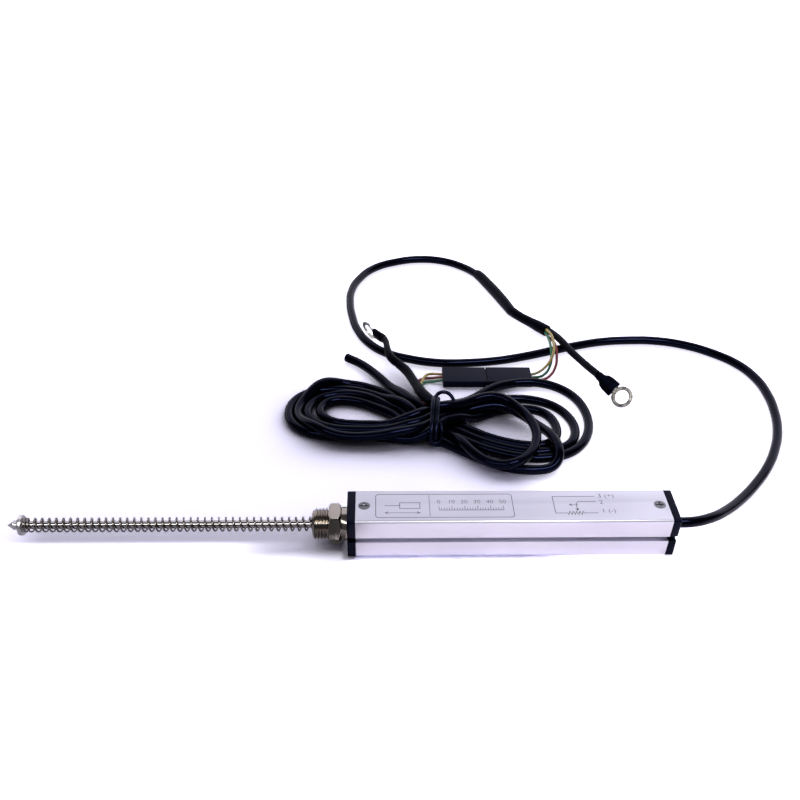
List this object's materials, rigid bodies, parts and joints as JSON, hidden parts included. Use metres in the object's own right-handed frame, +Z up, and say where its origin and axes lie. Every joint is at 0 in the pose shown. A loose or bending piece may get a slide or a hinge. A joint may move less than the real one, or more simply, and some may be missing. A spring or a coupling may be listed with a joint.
{
  "type": "linear displacement sensor",
  "caption": "Square housing with a threaded nose and a spring-returned push rod that measures travel, with a plug-jointed cable tied in a hank.",
  "frame": {"origin": "middle of the sensor's own length and width, at the height of the housing's underside", "axes": "+X along the push rod's axis from its point towards the cable, +Y away from the viewer to where the cable lies, +Z up from the surface that the housing rests on"},
  "size_m": [0.324, 0.2491, 0.018],
  "materials": {
    "anodised_aluminium": "satin anodised",
    "black_cap_plastic": "fine satin",
    "plated_screw": "bright zinc plate",
    "nickel_plate": "bright nickel plate",
    "bearing_bronze": "plain",
    "spring_steel": "drawn wire",
    "polished_steel": "ground and polished",
    "slider_plastic": "natural",
    "contact_gold": "plated",
    "board_laminate": "plain",
    "track_carbon": "printed",
    "track_silver": "printed",
    "inner_insulation": "plain",
    "grip_steel": "plain",
    "cable_jacket": "glossy",
    "shrink_sleeve": "matte",
    "core_green": "plain",
    "core_yellow": "plain",
    "core_red": "plain",
    "tinned_copper": "tinned",
    "connector_plastic": "moulded",
    "tie_plastic": "coated wire"
  },
  "bodies": {
    "housing": {"housing_tube": "anodised_aluminium", "front_cap": "black_cap_plastic", "rear_cap": "black_cap_plastic", "front_cap_screw": "plated_screw", "rear_cap_screw": "plated_screw", "threaded_bush": "nickel_plate", "guide_bearing": "bearing_bronze", "bush_clip": "spring_steel", "return_spring": "spring_steel", "element_board": "board_laminate", "resistive_track": "track_carbon", "collector_track": "track_silver", "solder_pins": "track_silver", "inner_leads": "inner_insulation", "cable_grip": "grip_steel", "sensor_cable": "cable_jacket", "cable_sleeve": "shrink_sleeve", "split_sleeve": "shrink_sleeve", "core_a_green": "core_green", "core_a_yellow": "core_yellow", "core_a_red": "core_red", "shield_lead_a": "shrink_sleeve", "terminal_sleeve_a": "shrink_sleeve", "ring_terminal_a": "tinned_copper", "connector_plug": "connector_plastic", "plug_contacts": "contact_gold", "connector_socket": "connector_plastic", "socket_contacts": "contact_gold", "core_b_green": "core_green", "core_b_yellow": "core_yellow", "core_b_red": "core_red", "joint_sleeve": "shrink_sleeve", "shield_lead_b": "shrink_sleeve", "terminal_sleeve_b": "shrink_sleeve", "ring_terminal_b": "tinned_copper", "extension_hank": "cable_jacket", "hank_tie": "tie_plastic", "cable_tail": "cable_jacket"},
    "rod": {"push_rod": "polished_steel", "spring_seat": "polished_steel", "contact_tip": "polished_steel", "slider_block": "slider_plastic", "rod_pin": "spring_steel", "wiper_brush": "contact_gold"},
    "nut": {"mounting_nut": "nickel_plate"}
  },
  "joints": [
    {"name": "rod_slide", "type": "slide", "parent": "housing", "child": "rod", "axis": [1, 0, 0], "range_m": [0, 0.05], "stiffness_N_per_m": 95, "springref_m": -0.012, "deforming": ["return_spring"]},
    {"name": "nut_turn", "type": "hinge", "parent": "housing", "child": "nut", "pos_m": [-0.00275, 0, 0.009], "axis": [1, 0, 0], "continuous": true}
  ]
}
